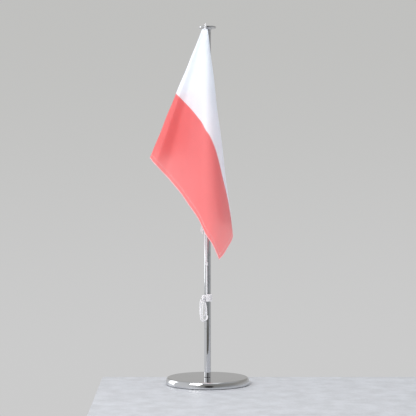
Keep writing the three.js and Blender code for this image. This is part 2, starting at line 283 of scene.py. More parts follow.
# %% [markdown]
# ### Fibres
# Cord, felt and thread are all spun from fibres a tenth of a millimetre thick. One group makes
# that fuzz from two noises in the object's own coordinates, so that it sits still on the piece,
# and every textile places it with its own size.

# %% The fibre group
fibres, given, result = new_group(
    "fibres",
    [("Size", "Float", 0.0002), ("Contrast", "Float", 0.5)],
    [("Height", "Float"), ("Shade", "Float")],
)
own_place = fibres.nodes.new("ShaderNodeTexCoord").outputs["Object"]
per_metre = maths(fibres, "DIVIDE", 1.0, given.outputs["Size"])
fuzz = add_node(fibres, "ShaderNodeTexNoise", Vector=own_place, Scale=per_metre, Detail=2.0)
clumps = add_node(
    fibres,
    "ShaderNodeTexNoise",
    Vector=own_place,
    Scale=maths(fibres, "MULTIPLY", per_metre, 0.13),
    Detail=3.0,
)
fine, coarse = fuzz.outputs["Fac"], clumps.outputs["Fac"]
height = maths(fibres, "ADD", fine, maths(fibres, "MULTIPLY", coarse, 0.5))
change = maths(fibres, "SUBTRACT", coarse, 0.5)
change = maths(fibres, "MULTIPLY", change, given.outputs["Contrast"])
fibres.links.new(height, result.inputs["Height"])
fibres.links.new(maths(fibres, "ADD", 1.0, change), result.inputs["Shade"])
print("group", fibres.name, "with", len(fibres.nodes), "nodes")

# %% [markdown]
# ### Handling marks
# Polished plating is never quite clean. Finger smudges dull it in soft patches and wiping leaves
# hair-fine scratches. Both change only how sharp a reflection is, so the group gives a roughness,
# and the chrome and the zinc share it.

# %% The handling group
handling, given, result = new_group(
    "handling_marks",
    [("Polish", "Float", 0.05), ("Smudge", "Float", 0.1), ("Patch Size", "Float", 0.02)],
    [("Roughness", "Float"), ("Scratch", "Float")],
)
own_place = handling.nodes.new("ShaderNodeTexCoord").outputs["Object"]
patch = add_node(
    handling,
    "ShaderNodeTexNoise",
    Vector=own_place,
    Scale=maths(handling, "DIVIDE", 1.0, given.outputs["Patch Size"]),
    Detail=4.0,
    Roughness=0.6,
)
smudged = between(handling, patch.outputs["Fac"], 0.48, 0.72)
swirl = add_node(
    handling, "ShaderNodeTexNoise", Vector=own_place, Scale=30.0, Detail=1.0, Distortion=0.6
)
hairs = add_node(
    handling,
    "ShaderNodeTexWave",
    {"wave_type": "RINGS", "rings_direction": "Z"},
    Vector=own_place,
    Scale=420.0,
    Distortion=4.0,
    Detail=3.0,
    Detail_Scale=0.7,
)
thin = between(handling, hairs.outputs["Fac"], 0.93, 1.0)
scratch = maths(handling, "MULTIPLY", thin, between(handling, swirl.outputs["Fac"], 0.45, 0.6))
dull = maths(handling, "MULTIPLY", smudged, given.outputs["Smudge"])
rough = maths(handling, "ADD", given.outputs["Polish"], dull)
rough = maths(handling, "ADD", rough, maths(handling, "MULTIPLY", scratch, 0.06))
handling.links.new(rough, result.inputs["Roughness"])
handling.links.new(scratch, result.inputs["Scratch"])
print("group", handling.name, "with", len(handling.nodes), "nodes")

# %% [markdown]
# ### Chrome and zinc
# Decorative chrome is darker than a mirror: it gives back under two thirds of the light, with a
# faint blue cast. Zinc plating on the hidden screw is greyer and duller.


# %% The metals
def metal(name, colour, polish, smudge, patch_size):
    material, tree, shader = new_material(name, Metallic=1.0)
    marks = use_group(tree, handling, Polish=polish, Smudge=smudge, Patch_Size=patch_size)
    worn = tint(tree, marks.outputs["Scratch"], (*colour, 1), (*[0.8 * c for c in colour], 1))
    tree.links.new(worn, shader.inputs["Base Color"])
    tree.links.new(marks.outputs["Roughness"], shader.inputs["Roughness"])
    return material


chrome = metal("polished_chrome", (0.64, 0.645, 0.66), 0.035, 0.05, 0.02)
zinc = metal("zinc_plate", (0.46, 0.46, 0.47), 0.3, 0.15, 0.004)
print("metals", chrome.name, zinc.name)

# %% [markdown]
# ### Braided cord, felt and thread
# The cord's strands are real relief, made further down, which leaves a number from 0 in a groove
# to 1 on a strand's back. The material darkens the grooves by it: painted shade, on top of the
# shade that the relief itself casts.

# %% The fibrous finishes
cord_white, tree, shader = new_material(
    "braided_cord",
    Roughness=0.72,
    Sheen_Weight=0.25,
    Subsurface_Weight=0.25,
    Subsurface_Radius=(1.0, 1.0, 1.0),
    Subsurface_Scale=0.0004,
)
relief = add_node(tree, "ShaderNodeAttribute", {"attribute_name": "relief"}).outputs["Fac"]
# Painted shade: the grooves' colour is darker and the strands' backs paler.
groove_shade = between(tree, relief, 0.1, 0.8)
fuzzed = use_group(tree, fibres, Size=0.00012, Contrast=0.12)
groove_shade_and_fibre_tone = maths(tree, "MULTIPLY", maths(tree, "MULTIPLY_ADD", groove_shade, 0.3, 0.7), fuzzed.outputs["Shade"])
greyed = tint(tree, groove_shade_and_fibre_tone, (0.46, 0.46, 0.49, 1), (0.73, 0.73, 0.755, 1))
tree.links.new(greyed, shader.inputs["Base Color"])
relieved(tree, shader, fuzzed.outputs["Height"], 0.35, 0.06 * MM)

felt_black, tree, shader = new_material("black_felt", Roughness=0.95, Sheen_Weight=0.5)
fuzzed = use_group(tree, fibres, Size=0.0004, Contrast=0.9)
dark = tint(tree, fuzzed.outputs["Shade"], (0.006, 0.006, 0.007, 1), (0.035, 0.035, 0.04, 1))
tree.links.new(dark, shader.inputs["Base Color"])
relieved(tree, shader, fuzzed.outputs["Height"], 0.9, 0.3 * MM)

thread_pale, tree, shader = new_material("sewing_thread", Roughness=0.55)
fuzzed = use_group(tree, fibres, Size=0.00008, Contrast=0.2)
pale = tint(tree, fuzzed.outputs["Shade"], (0.55, 0.4, 0.42, 1), (0.93, 0.86, 0.88, 1))
tree.links.new(pale, shader.inputs["Base Color"])
print("fibrous finishes", cord_white.name, felt_black.name, thread_pale.name)

# %% [markdown]
# ### Printed satin
# Satin is woven with long floats: each thread passes over four others and under one, and the dips
# lie on a slant. The cloth carries its flat coordinates as its UV map, in metres from the hoist
# and from the bottom edge, so the threads, the two printed colours and the pale unprinted edge
# all follow the folds. Thin satin also lets light through, so more than half of its shader is a
# translucent share with paler colours of its own. A see-through shader would show what is behind
# it, but overlapping layers of it are drawn in the wrong order by many viewers, so none is used.

# %% The satin
FLAG_LENGTH = 230.0
FLAG_HEIGHT = 150.0
THREAD = 0.32 * MM
COLOURS_MEET = FLAG_HEIGHT * MM / 2
LIGHT_THROUGH = 0.55
satin, tree, shader = new_material("printed_satin", Roughness=0.5, Sheen_Weight=0.15)
flat = add_node(tree, "ShaderNodeUVMap", {"uv_map": "flat"}).outputs["UV"]
flat = add_node(tree, "ShaderNodeSeparateXYZ", Vector=flat)
out, up = flat.outputs["X"], flat.outputs["Y"]
warp = maths(tree, "DIVIDE", out, THREAD)
weft = maths(tree, "DIVIDE", up, THREAD)
slant = maths(tree, "MULTIPLY_ADD", maths(tree, "FLOOR", warp), 2.0, maths(tree, "FLOOR", weft))
dip = maths(tree, "LESS_THAN", maths(tree, "FLOORED_MODULO", slant, 5.0), 0.5)
back = maths(tree, "ABSOLUTE", maths(tree, "SINE", maths(tree, "MULTIPLY", warp, math.pi)))
weave = maths(tree, "MULTIPLY", back, maths(tree, "MULTIPLY_ADD", dip, -0.6, 1.0))
fuzzed = use_group(tree, fibres, Size=0.0005, Contrast=0.12)
white_above = between(tree, up, COLOURS_MEET - 0.2 * MM, COLOURS_MEET + 0.2 * MM)
# Painted shade: the red and the white are darker where the weave is low, between the threads and at
# the dips.
red = tint(tree, weave, (0.79, 0.14, 0.14, 1), (0.91, 0.2, 0.205, 1))
white = tint(tree, weave, (0.82, 0.85, 0.9, 1), (0.92, 0.95, 0.985, 1))
printed = tint(tree, white_above, red, white)
to_side = maths(tree, "MINIMUM", up, maths(tree, "SUBTRACT", FLAG_LENGTH * MM, out))
bare_edge = between(tree, to_side, 0.4 * MM, 1.0 * MM, 1.0, 0.0)
printed = tint(tree, bare_edge, printed, (0.92, 0.6, 0.63, 1))
faded = add_node(
    tree,
    "ShaderNodeMix",
    {"data_type": "RGBA", "blend_type": "MULTIPLY"},
    i0=1.0,
    i6=printed,
    i7=fuzzed.outputs["Shade"],
)
tree.links.new(faded.outputs[2], shader.inputs["Base Color"])
tree.links.new(maths(tree, "MULTIPLY_ADD", weave, -0.14, 0.56), shader.inputs["Roughness"])
woven = relieved(tree, shader, weave, 0.5, 0.08 * MM)
glow_red = tint(tree, bare_edge, (0.94, 0.68, 0.685, 1), (1.0, 0.76, 0.78, 1))
glow = tint(tree, white_above, glow_red, (0.95, 0.97, 1.0, 1))
through = add_node(tree, "ShaderNodeBsdfTranslucent", Color=glow, Normal=woven)
thin_cloth = add_node(
    tree,
    "ShaderNodeMixShader",
    i0=LIGHT_THROUGH,
    i1=shader.outputs["BSDF"],
    i2=through.outputs["BSDF"],
)
tree.links.new(thin_cloth.outputs["Shader"], tree.nodes["Material Output"].inputs["Surface"])
print("satin thread", THREAD / MM, "mm")

# %% [markdown]
# ## Cord
# The halyard is a braid of eight strands, four each way round, that pass over and under one
# another. Modelling each strand would take eight tubes that touch. A single tube whose surface
# rises and falls by the same rule looks the same and stays one closed solid. Geometry Nodes does
# it: a circle is swept along the path, and each point moves out by the height of the strand that
# is on top there. The flag's stitches need a second tree, so the start and the end that both
# share are helpers.


# %% Starting and ending a tree
def shape_tree(name, inputs):
    """A Geometry Nodes tree with named inputs. Gives the tree and its inputs' sockets."""
    tree = bpy.data.node_groups.new(name, "GeometryNodeTree")
    for label, kind, value in inputs:
        socket = tree.interface.new_socket(label, in_out="INPUT", socket_type="NodeSocket" + kind)
        if value is not None:
            socket.default_value = value
    tree.interface.new_socket("Mesh", in_out="OUTPUT", socket_type="NodeSocketGeometry")
    return tree, tree.nodes.new("NodeGroupInput").outputs


def end_tree(tree, geometry, finish):
    """Ends a tree: smooth, with real geometry in place of instances, and with its material."""
    soft = add_node(tree, "GeometryNodeSetShadeSmooth", Geometry=geometry).outputs["Geometry"]
    real = add_node(tree, "GeometryNodeRealizeInstances", Geometry=soft).outputs["Geometry"]
    dressed = add_node(tree, "GeometryNodeSetMaterial", Geometry=real, Material=finish)
    end = tree.nodes.new("NodeGroupOutput")
    tree.links.new(dressed.outputs["Geometry"], end.inputs["Mesh"])
    print("tree", tree.name, "with", len(tree.nodes), "nodes")


def identifiers(tree):
    return {s.name: s.identifier for s in tree.interface.items_tree if s.in_out == "INPUT"}


# %% The braid tree
CORD = 1.3 * MM
braid, given = shape_tree(
    "braid",
    [
        ("Path", "Geometry", None),
        ("Radius", "Float", CORD / 2),
        ("Sides", "Int", 20),
        ("Strands", "Int", 4),
        ("Pitch", "Float", 4 * CORD),
        ("Relief", "Float", CORD / 10),
        ("Finish", "Material", None),
    ],
)


def captured(geometry, label, measure):
    """Keeps a spline's own measure with each point, for use after the sweep."""
    node = add_node(braid, "GeometryNodeCaptureAttribute", Geometry=geometry)
    node.capture_items.new("FLOAT", label)
    spline = braid.nodes.new("GeometryNodeSplineParameter")
    braid.links.new(spline.outputs[measure], node.inputs[label])
    return node


along = captured(given["Path"], "Along", "Length")
core = maths(braid, "SUBTRACT", given["Radius"], given["Relief"])
circle = add_node(
    braid,
    "GeometryNodeCurvePrimitiveCircle",
    {"mode": "RADIUS"},
    Resolution=given["Sides"],
    Radius=core,
)
around = captured(circle.outputs["Curve"], "Around", "Factor")
tube = add_node(
    braid,
    "GeometryNodeCurveToMesh",
    Curve=along.outputs["Geometry"],
    Profile_Curve=around.outputs["Geometry"],
    Fill_Caps=True,
)

# %% The strands' relief
turns = maths(braid, "MULTIPLY", around.outputs["Around"], given["Strands"])
pitches = maths(braid, "DIVIDE", along.outputs["Along"], given["Pitch"])
travel = maths(braid, "MULTIPLY", pitches, given["Strands"])
left = maths(braid, "ADD", turns, travel)
right = maths(braid, "SUBTRACT", turns, travel)


def strand(own, other):
    """The height of a strand: round across itself, and over and under the strands it crosses."""
    back = maths(braid, "ABSOLUTE", maths(braid, "SINE", maths(braid, "MULTIPLY", own, math.pi)))
    turn = maths(braid, "ADD", other, maths(braid, "FLOOR", own))
    wave = maths(braid, "COSINE", maths(braid, "MULTIPLY", turn, math.pi))
    return maths(braid, "MULTIPLY", back, maths(braid, "MULTIPLY_ADD", wave, 0.25, 0.75))


shifted = maths(braid, "ADD", left, 0.5)
height = maths(braid, "MAXIMUM", strand(left, right), strand(right, shifted))
outwards = braid.nodes.new("GeometryNodeInputNormal").outputs["Normal"]
lift = add_node(
    braid,
    "ShaderNodeVectorMath",
    {"operation": "SCALE"},
    i0=outwards,
    Scale=maths(braid, "MULTIPLY", height, given["Relief"]),
)
raised = add_node(
    braid, "GeometryNodeSetPosition", Geometry=tube.outputs["Mesh"], Offset=lift.outputs["Vector"]
)
kept = add_node(
    braid,
    "GeometryNodeStoreNamedAttribute",
    {"data_type": "FLOAT", "domain": "POINT"},
    Geometry=raised.outputs["Geometry"],
    Name="relief",
    Value=height,
)
end_tree(braid, kept.outputs["Geometry"], given["Finish"])


# %% Using the tree
def braided(name, path, radius=CORD / 2, **others):
    """A braided cord along a path, as a plain mesh."""
    curve = bpy.data.curves.new(name + "_path", "CURVE")
    curve.dimensions = "3D"
    spline = curve.splines.new("POLY")
    spline.points.add(len(path) - 1)
    spline.points.foreach_set("co", np.c_[path, np.ones(len(path))].ravel())
    source = bpy.data.objects.new(name + "_path", curve)
    scene.collection.objects.link(source)
    modifier = source.modifiers.new("braid", "NODES")
    modifier.node_group = braid
    names = identifiers(braid)
    for key, value in {"Radius": radius, "Finish": cord_white, **others}.items():
        modifier[names[key]] = value
    piece = plain_mesh(source, name)
    print(name, "%.1f mm long," % (line_length(path) / MM), len(piece.data.polygons), "faces")
    return piece


# %% [markdown]
# ### The bow and its tail
# The halyard is tied off with a bow, whose two loops hang in front of the pole on the left, with
# one free end inside them. They are the only stretches of the cord that hang free. The loops
# start and end inside the knot, the routes are the CAD model's own, and the free end is cut
# square.

# %% The free cords
BOW_FRONT = [
    (-6.5, -7.4, 98.2), (-7.3, -7.8, 95), (-7.8, -8, 90), (-7.9, -8, 84), (-7.9, -8, 78),
    (-6.9, -8, 75.7), (-4.6, -8, 74.7), (-2.3, -8, 75.7), (-1.3, -8, 78), (-1.1, -8, 84),
    (-1.4, -7.8, 90), (-2.2, -7.4, 94.4), (-3.3, -7.1, 97.2),
]  # fmt: skip
BOW_BACK = [
    (-7.8, -5.7, 100.2), (-8.6, -5.9, 96), (-8.9, -6.1, 91), (-8.9, -6.2, 87), (-8.9, -6.3, 83.5),
    (-8, -6.3, 81.3), (-5.8, -6.3, 80.4), (-3.6, -6.3, 81.3), (-2.7, -6.3, 83.5), (-2.7, -6.2, 87),
    (-2.9, -6, 92), (-3.8, -5.9, 96.2),
]  # fmt: skip
TAIL = [
    (-5, -8.1, 98.4), (-5.4, -9.3, 95), (-5.9, -9.8, 90), (-6.2, -9.8, 84), (-6.2, -9.8, 79.3),
    (-5.3, -9.8, 77.1), (-3.1, -9.8, 76.2), (-0.9, -9.8, 77.1), (0, -9.8, 79.3), (0, -9.8, 81.5),
]  # fmt: skip


def free_cord(name, points, node):
    path = route(points, 0.2)
    piece = braided(name, path)
    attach(piece, "stand")
    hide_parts(node)
    return piece


free_cord("bow_loop_front_cord", BOW_FRONT, "bow_loop_front")
free_cord("bow_loop_back_cord", BOW_BACK, "bow_loop_back")
free_cord("cord_tail_cord", TAIL, "cord_tail")

# %% [markdown]
# ### The halyard
# One cord all the way: up from the hitch as the fall that the flag hangs on, over the truck, down
# the other side, and seven times round the pole. Only its route is given, so the parts join
# without a seam. It is held all along, so it isn't a free cord.

# %% The halyard's route
HOIST = (-2.9975, -9.2252)
RETURN = (-1.8232, -5.6112)
TRUCK_TOP = 422.0
hoist_fall = [
    (-1.0, -6.1, 142.6), (-1.7, -6.8, 144), (-2.3, -7.9, 150), (-2.8, -8.8, 160), (*HOIST, 172),
    (*HOIST, 188), (*HOIST, 262), (*HOIST, 340), (*HOIST, 414), (*HOIST, 418),
]  # fmt: skip
middle = (np.array(HOIST) + np.array(RETURN)) / 2
reach = np.array(HOIST) - middle
bend = float(np.linalg.norm(reach))
crossing = [
    (*(middle + reach * math.cos(a)), TRUCK_TOP + bend * math.sin(a))
    for a in np.linspace(0, math.pi, 9)
]
return_fall = [
    (*RETURN, 418), (*RETURN, 414), (-1.6, -5.8, 330), (-1.3, -6, 240), (-0.9, -6, 160),
    (-0.9, -6, 142), (-0.9, -5.9, 124), (-0.8, -5.6, 113), (-0.8, -5.2, 108),
]  # fmt: skip
TURNS = 7
TURN_RADIUS = 4.95
WRAPS_TOP, WRAPS_BOTTOM = 105.7, 97.2
KNOT_CENTRE = (-5.2, -5.8, 101.5)
first = math.atan2(-4.95, -0.8)
last = math.atan2(KNOT_CENTRE[1], KNOT_CENTRE[0]) + 2 * math.pi * TURNS
wraps = [
    (TURN_RADIUS * math.cos(a), TURN_RADIUS * math.sin(a), z)
    for a, z in zip(
        np.linspace(first, last, 24 * TURNS), np.linspace(WRAPS_TOP, WRAPS_BOTTOM, 24 * TURNS)
    )
]
halyard_path = route(hoist_fall + crossing + return_fall + wraps)
print("turns round the pole", TURNS, "over the truck in a half circle of %.2f mm" % bend)
halyard = braided("halyard", halyard_path)
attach(halyard, "stand")
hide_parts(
    "halyard_hoist_fall", "halyard_over_truck", "halyard_return_fall", "pole_turns"
)

# %% [markdown]
# ### Knots
# Each knot is drawn up hard round the cord that it holds. A trefoil is the path of an overhand
# knot, so the same braid follows a squeezed trefoil of the knot's outer size. The two stops,
# which hold the flag's hoist at its ends, are short whippings: three turns of thinner cord round
# the halyard.


# %% The knots
def overhand(centre, size, roll, count=160):
    """A closed overhand knot's path, squeezed into a box of half the given size."""
    t = np.linspace(0, 2 * np.pi, count)
    across, deep = np.sin(t) + 2 * np.sin(2 * t), np.cos(t) - 2 * np.cos(2 * t)
    knot = np.stack([across, deep, -np.sin(3 * t)], 1)
    knot = knot / np.abs(knot).max(0)
    c, s = math.cos(roll), math.sin(roll)
    knot = knot @ np.array([[c, -s, 0], [s, c, 0], [0, 0, 1]])
    return even(np.array(centre) + knot * np.array(size), 0.25) * MM


def whipping(centre, radius, bottom, top, turns):
    """A path of close turns round the halyard."""
    a = np.linspace(0, 2 * np.pi * turns, 20 * turns)
    spiral = np.stack([radius * np.cos(a), radius * np.sin(a), np.linspace(bottom, top, len(a))], 1)
    return even(spiral + np.array([*centre, 0]), 0.25) * MM


def join(name, parts):
    """One mesh piece from several."""
    whole = bmesh.new()
    for part in parts:
        whole.from_mesh(part.data)
        bpy.data.objects.remove(part)
    mesh = bpy.data.meshes.new(name)
    whole.to_mesh(mesh)
    mesh.materials.append(cord_white)
    piece = bpy.data.objects.new(name, mesh)
    scene.collection.objects.link(piece)
    return piece


print("a knot's path has", len(overhand((0, 0, 0), (1, 1, 1), 0)), "points")

# %% The knot of the tie
TIE_CROSSING = [(-3.4, -4.9, 103.6), (-4.6, -6.6, 103.2), (-5.6, -7.6, 101.2), (-6.3, -7.5, 98.9)]
tie = join(
    "tie_knot_cord",
    [
        braided("tie_a", overhand(KNOT_CENTRE, (1.35, 1.5, 3.2), 0.5), 0.62 * MM),
        braided("tie_b", whipping((-5.2, -6.0), 1.5, 100.2, 102.6, 2), 0.6 * MM),
        braided("tie_c", route(TIE_CROSSING), 0.6 * MM),
    ],
)
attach(tie, "stand")
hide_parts("tie_knot")

# %% [markdown]
# The join knot ties the cord's two ends together on the hoist fall, just under the flag, so its
# own two short ends stick out and hang down. Their routes are given from the knot's middle.

# %% The join knot and the hitch
JOIN_HEIGHT = 186
JOIN_END = [(-0.6, -0.6, 1), (-2.4, -0.8, 1), (-3.9, -0.9, -1), (-4.4, -0.8, -6)]
JOIN_TIP = [(-0.4, -0.9, -0.4), (-1.7, -1.6, -1.6), (-2.7, -1.7, -4.6), (-2.6, -1.4, -8.4)]
middle = (*HOIST, JOIN_HEIGHT)
joining = join(
    "join_knot_cord",
    [
        braided("join_a", overhand(middle, (1.25, 1.25, 1.5), 0.2), 0.62 * MM),
        braided("join_b", whipping(HOIST, 1.25, JOIN_HEIGHT - 1.5, JOIN_HEIGHT + 1.5, 2), 0.6 * MM),
        braided("join_end", route(np.add(JOIN_END, middle))),
        braided("join_tip", route(np.add(JOIN_TIP, middle))),
    ],
)
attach(joining, "stand")
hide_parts("join_knot")

hitch = join(
    "hitch_knot_cord",
    [
        braided("hitch_a", whipping((-0.9, -6.0), 1.0, 140.7, 143.4, 2), 0.55 * MM),
        braided("hitch_b", overhand((-1.0, -6.1, 142), (1.0, 1.0, 1.2), 1.1), 0.5 * MM),
    ],
)
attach(hitch, "stand")
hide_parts("hitch_knot")

# %% The stops
for node, low, high in (("upper_stop", 417.7, 418.9), ("lower_stop", 264.9, 266.2)):
    stop = join(
        node + "_whipping",
        [
            braided(node + "_a", whipping(HOIST, 1.05, low, high, 3), 0.45 * MM, Sides=14),
            braided(node + "_b", overhand((*HOIST, (low + high) / 2), (1, 1, 0.7), 0.9), 0.4 * MM),
        ],
    )
    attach(stop, "hoist_stops")
    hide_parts(node)
    print(node, "from", low, "to", high)

# %% [markdown]
# ## Base
# A steel disc, turned and chromed, whose rim is one broad round, deeper than it is wide. Its
# underside is recessed for a felt pad, and a screw comes up through its middle into the pole. A
# lathe profile is the natural way to make it. The reflections run along the round, so it has many
# more steps than the CAD model's edge.

# %% The base plate
RIM, BASE_TOP = 49.5, 8.2
ROUND_IN, ROUND_DOWN = 3.0, 6.6
RECESS, RECESS_TOP = 46.3, 1.8
SAME = 1e-7
profile = (
    [(RECESS, 0.5), (48.7, 0.5)]
    + rounded((48.9, 1.1), 0.6, -80, -10, 6)
    + [
        (RIM + ROUND_IN * (r - 1), BASE_TOP + ROUND_DOWN * (z - 1))
        for r, z in rounded((0, 0), 1, 0, 90, 28)
    ]
    + [(r, BASE_TOP) for r in (46, 30, 12, 2.4)]
    + [(2.25, 8.05), (2.25, 6), (5.5, 6), (5.5, RECESS_TOP)]
    + [(RECESS - 0.2, RECESS_TOP), (RECESS, RECESS_TOP - 0.2), (RECESS, 0.5)]
)
base = mesh_piece("base_plate", *turned(profile, 320), chrome)
volume = weld(base, SAME, crisp=40)
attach(base, "stand")
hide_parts("base_disc")
print("base", len(base.data.polygons), "faces, %.0f mm3" % volume)

# %% [markdown]
# The pad is die-cut felt, glued in the recess. Its edge is soft and its face uneven, so the
# profile is rounded and small waves move its points, inside the recess and never below the table.

# %% The felt pad
ring_radii = [0, 6, 12, 18, 24, 30, 36, 41, 44.5]
profile = [(r, 0.02) for r in ring_radii] + rounded((45.4, 0.6), 0.58, -90, 0, 5)
profile += rounded((45.4, 0.95), 0.55, 0, 90, 4) + [(r, 1.5) for r in reversed(ring_radii)]
points, faces = turned(profile, 180)
points = np.array(points)
angle = np.arctan2(points[:, 1], points[:, 0])
ripple = 0.5 + 0.5 * np.sin(7 * angle + 900 * points[:, 0]) * np.cos(1100 * points[:, 1])
points[:, 2] += np.where(points[:, 2] < 0.4 * MM, 0.08 * MM * ripple, 0)
points[:, :2] *= (1 + 0.0012 * np.sin(23 * angle) * np.sin(9 * angle))[:, None]
pad = mesh_piece("felt_pad", points, faces, felt_black)
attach(pad, "stand")
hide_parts("base_pad")
print("pad", len(pad.data.polygons), "faces")

# %% The fastenings
for node in ("base_screw", "lock_washer", "pole_foot_plug"):
    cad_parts[node].data.materials.clear()
    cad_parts[node].data.materials.append(zinc)
    print(node, "keeps its shape and takes", zinc.name)

# %% [markdown]
# ## Pole and truck
# The pole is a drawn tube, so it is a ring profile with its ends just broken. The truck is a
# turned disc on a flared neck, drilled for one fall of the halyard and notched at the rim for the
# other. The hole and the notch are cut with a boolean, as the drill cuts the real one.

# %% The pole
POLE, POLE_INSIDE, BROKEN = 4.0, 3.2, 0.15
POLE_FOOT, POLE_TOP = 8.5, 415.0
profile = [(POLE_INSIDE, POLE_FOOT), (POLE - BROKEN, POLE_FOOT)]
profile += [(POLE, z) for z in (POLE_FOOT + BROKEN, 60, 150, 300, POLE_TOP - BROKEN)]
profile += [(POLE - BROKEN, POLE_TOP), (POLE_INSIDE, POLE_TOP), (POLE_INSIDE, POLE_FOOT)]
pole = mesh_piece("pole", *turned(profile, 128), chrome)
volume = weld(pole, SAME, crisp=30)
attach(pole, "stand")
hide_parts("pole_tube")
print("pole", len(pole.data.polygons), "faces, %.0f mm3" % volume)

# %% The truck
SPIGOT, SPIGOT_FOOT = 3.05, 403.3
NECK, DISC = 415.3, 419.8
FLARE, CROWN = 1.4, 0.35
LIP = 0.7
DISC_FLAT = 10 - LIP
DRILL, DRILL_TOP = 1.1, 424
profile = [(0, SPIGOT_FOOT), (SPIGOT, SPIGOT_FOOT), (SPIGOT, NECK), (POLE, NECK)]
profile += [(POLE + FLARE * s**2.5, NECK + (DISC - NECK) * s) for s in np.linspace(0.05, 1, 14)]
profile += rounded((DISC_FLAT, DISC + LIP), LIP, -90, 0, 8)
profile += rounded((DISC_FLAT, TRUCK_TOP - LIP), LIP, 0, 90, 8)
profile += [
    (r, TRUCK_TOP + CROWN * (1 - (r / DISC_FLAT) ** 2)) for r in (8, 6.5, 5, 3.5, 2, 1, 0)
]
blank = mesh_piece("truck_blank", *turned(profile, 192), chrome)
drills = []
for centre in (HOIST, RETURN):
    points, faces = turned([(0, NECK), (DRILL, NECK), (DRILL, DRILL_TOP), (0, DRILL_TOP)], 40)
    points = np.array(points) + np.array([centre[0] * MM, centre[1] * MM, 0])
    drill = mesh_piece("drill", points, faces)
    cut = blank.modifiers.new("cut", "BOOLEAN")
    cut.operation, cut.solver, cut.object = "DIFFERENCE", "EXACT", drill
    drills.append(drill)
truck = plain_mesh(blank, "truck_disc")
for drill in drills:
    bpy.data.objects.remove(drill)
truck.data.shade_smooth()
truck.data.set_sharp_from_angle(angle=math.radians(32))
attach(truck, "stand")
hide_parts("truck")
print("truck", len(truck.data.polygons), "faces")

# %% [markdown]
# ## Flag
# A small flag hangs from its top hoist corner, so every fold starts there. Cloth can't stretch,
# and a cloth whose folds all meet in one point takes the shape of a cone: a bundle of straight
# lines from the corner, each at its own turn and lean. The list gives those lines. The angle
# between neighbours is the same as in the flat cloth, so the folded flag keeps its cut size, 230
# by 150 mm.

# %% The folds
FOLDS = [  # turn to the right of straight down, lean to the front, layer at the gathered top
    (0, 0, 0), (-7, 0, 0), (-14, 0, 0), (-20.4, 0, 0), (-22, 0.4, 0.2), (-22.2, 0.9, 0.5),
    (-21.7, 1.5, 0.8), (-19.5, 3.7, 1), (-17, 2.9, 1), (-14, 2.1, 1), (-11, 4, 1), (-8, 6.3, 1),
    (-5, 9.6, 1), (-2, 12.6, 1), (1, 17, 1), (3.8, 13.5, 1), (6, 7.7, 1), (7.1, 2.4, 0.85),
    (6.8, -1.6, 0.6), (6.2, -2.2, 0.45), (5.6, -1.4, 0.45), (4.2, 6, 0.45), (2, 13.5, 0.45),
]  # fmt: skip
LAYER_STEP = 3.0
GATHER_LEFT, GATHER_RIGHT = 0.14, 0.42
HOIST_TOP = 417.0
turn, lean, layer = np.array(FOLDS, float).T
sideways, forward = np.radians(turn), np.radians(lean)
level = np.cos(forward)
ways = np.stack([np.sin(sideways) * level, -np.sin(forward), -np.cos(sideways) * level], 1)
gather = turn * np.where(turn < 0, GATHER_LEFT, GATHER_RIGHT)
starts = np.stack([gather, -layer * LAYER_STEP, 0 * turn], 1)
SAMPLES = 3000
ways = smooth(ways, SAMPLES)
ways /= np.linalg.norm(ways, axis=1)[:, None]
cosines = np.clip((ways[1:] * ways[:-1]).sum(1), -1, 1)
swept = np.r_[0, np.cumsum(np.arccos(cosines))]
print(len(FOLDS), "fold lines, %.2f degrees in all" % math.degrees(swept[-1]))

# %% [markdown]
# Satin is too limp for a sharp crease. The hidden folds round off a little and the front one
# widely, so each line is averaged with its neighbours, over more of them near the front fold's
# crest. The angles swept so far are kept, because they are the places of the lines in the flat
# cloth.


# %% The folds made soft
def softened(lines, spread):
    """The fold lines averaged with their neighbours over a spread of samples."""
    bell = np.exp(-0.5 * (np.arange(-3 * spread, 3 * spread + 1) / spread) ** 2)
    padded = np.pad(lines, ((3 * spread, 3 * spread), (0, 0)), mode="reflect", reflect_type="odd")
    rows = [np.convolve(padded[:, k], bell / bell.sum(), mode="valid") for k in range(3)]
    return np.stack(rows, 1)


HIDDEN_SPREAD, FRONT_SPREAD, FRONT_WIDTH = 35, 130, 260
sharp = ways
order = np.arange(SAMPLES)
crest = ways[:, 1].argmin()
front = np.exp(-0.5 * ((order - crest) / FRONT_WIDTH) ** 2)[:, None]
ways = softened(ways, HIDDEN_SPREAD) * (1 - front) + softened(ways, FRONT_SPREAD) * front
ways /= np.linalg.norm(ways, axis=1)[:, None]
starts = smooth(starts, SAMPLES, tension=0.3) + np.array([*HOIST, HOIST_TOP])
print("front fold at sample", crest, "of", SAMPLES)

# %% [markdown]
# A rounder front fold would let the hem hang lower there. So the cloth is shared out again among
# the lines of the front layer. Each soft line takes the place in the flat cloth of the sharp line
# with the same turn. A soft line that leans less is also seen less foreshortened, so its place
# moves a little nearer the hoist, where the hem is closer to the corner it hangs from. That keeps
# the hem where it was, seen from the front. The share starts and stops gently, and its second
# part fades out before the cloth's lower corner.

# %% The cloth shared out again
CORNER = math.atan2(FLAG_LENGTH, FLAG_HEIGHT)
NEAR_CORNER = math.radians(8)
LEAST_ANGLE = 0.3
LAST_TURN = math.radians(6)
START_AFTER, START_OVER, STOP_OVER = 60, 160, 120


def turn_and_seen(lines):
    """Each line's turn to the right of straight down, and its length as seen from the front."""
    return np.arctan2(lines[:, 0], -lines[:, 2]), np.hypot(lines[:, 0], lines[:, 2])


